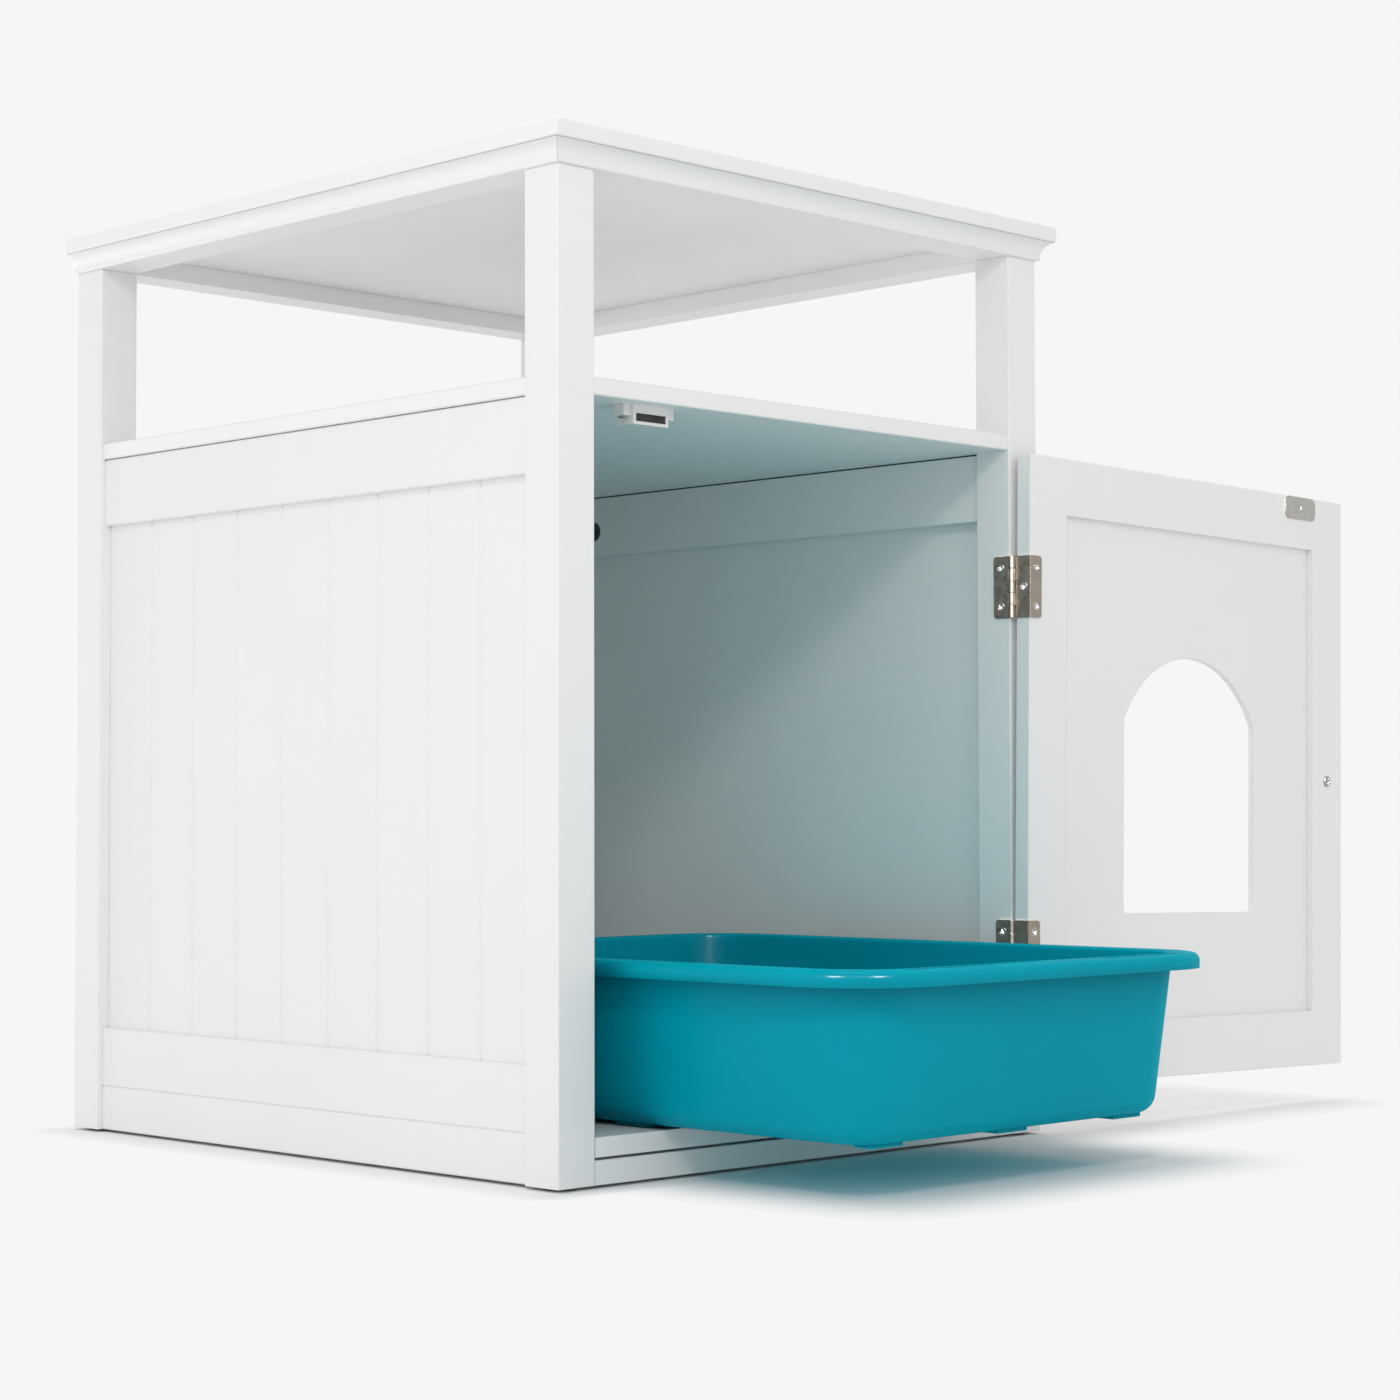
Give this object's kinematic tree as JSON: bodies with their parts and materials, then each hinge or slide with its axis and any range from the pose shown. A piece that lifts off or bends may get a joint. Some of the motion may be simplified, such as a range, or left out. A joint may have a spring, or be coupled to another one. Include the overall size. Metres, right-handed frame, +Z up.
{
  "type": "cat litter box cabinet",
  "caption": "Two-tier white cat litter box cabinet with an open shelf, a hinged door with an arched cat opening and a pull-out teal litter pan.",
  "frame": {"origin": "on the floor, at the centre of the footprint of the four posts", "axes": "+X to the right along the front, +Y towards the back, +Z up; the door and the open front face -Y"},
  "size_m": [0.8259, 0.714, 0.635],
  "materials": {
    "white_board": "fibreboard with satin white paint",
    "bare_wood": "bare birch dowel",
    "glide_plastic": "dull brown moulded plastic",
    "cam_black": "dull black",
    "zinc_steel": "zinc-plated steel",
    "dark_bronze": "dark bronze plating, worn and slightly glossy",
    "satin_nickel": "satin nickel plating",
    "white_plastic": "satin white moulded plastic",
    "magnet": "dark ferrite between steel pole plates",
    "teal_plastic": "semi-gloss moulded teal plastic"
  },
  "bodies": {
    "cabinet": {"back_beadboard": "white_board", "back_lower_rail": "white_board", "back_skirt": "white_board", "back_upper_rail": "white_board", "catch_housing": "white_plastic", "catch_magnet": "magnet", "catch_screws": "zinc_steel", "floor_board": "white_board", "floor_dowels": "bare_wood", "frame_dowels": "bare_wood", "front_plinth": "white_board", "glide_back_left": "glide_plastic", "glide_back_right": "glide_plastic", "glide_front_left": "glide_plastic", "glide_front_right": "glide_plastic", "hinge_post_screws": "dark_bronze", "left_beadboard": "white_board", "left_lower_rail": "white_board", "left_skirt": "white_board", "left_upper_rail": "white_board", "lower_hinge_pin": "dark_bronze", "lower_hinge_post_leaf": "dark_bronze", "middle_shelf": "white_board", "post_back_left": "white_board", "post_back_right": "white_board", "post_front_left": "white_board", "post_front_right": "white_board", "right_beadboard": "white_board", "right_lower_rail": "white_board", "right_skirt": "white_board", "right_upper_rail": "white_board", "shelf_dowels": "bare_wood", "side_cam_bolts": "zinc_steel", "side_cam_locks": "cam_black", "top_back_rail": "white_board", "top_dowels": "bare_wood", "top_front_rail": "white_board", "top_left_rail": "white_board", "top_panel": "white_board", "top_right_rail": "white_board", "upper_hinge_pin": "dark_bronze", "upper_hinge_post_leaf": "dark_bronze"},
    "door": {"door_frame": "white_board", "door_panel": "white_board", "upper_hinge_door_leaf": "dark_bronze", "lower_hinge_door_leaf": "dark_bronze", "hinge_door_screws": "dark_bronze", "strike_plate": "satin_nickel", "strike_screw": "zinc_steel", "door_knob": "satin_nickel", "knob_screw": "zinc_steel"},
    "pan": {"litter_pan": "teal_plastic"}
  },
  "joints": [
    {"name": "door_swing", "type": "hinge", "parent": "cabinet", "child": "door", "pos_m": [0.195, -0.2579, 0.2535], "axis": [-0.0092, 0, -1], "range_deg": [0, 180]},
    {"name": "pan_slide", "type": "slide", "parent": "cabinet", "child": "pan", "axis": [0, 1, 0], "range_m": [0, 0.232]}
  ],
  "couplings": [
    {"joint": "pan_slide", "follows": "door_swing", "m_per_rad": 0.07384}
  ]
}
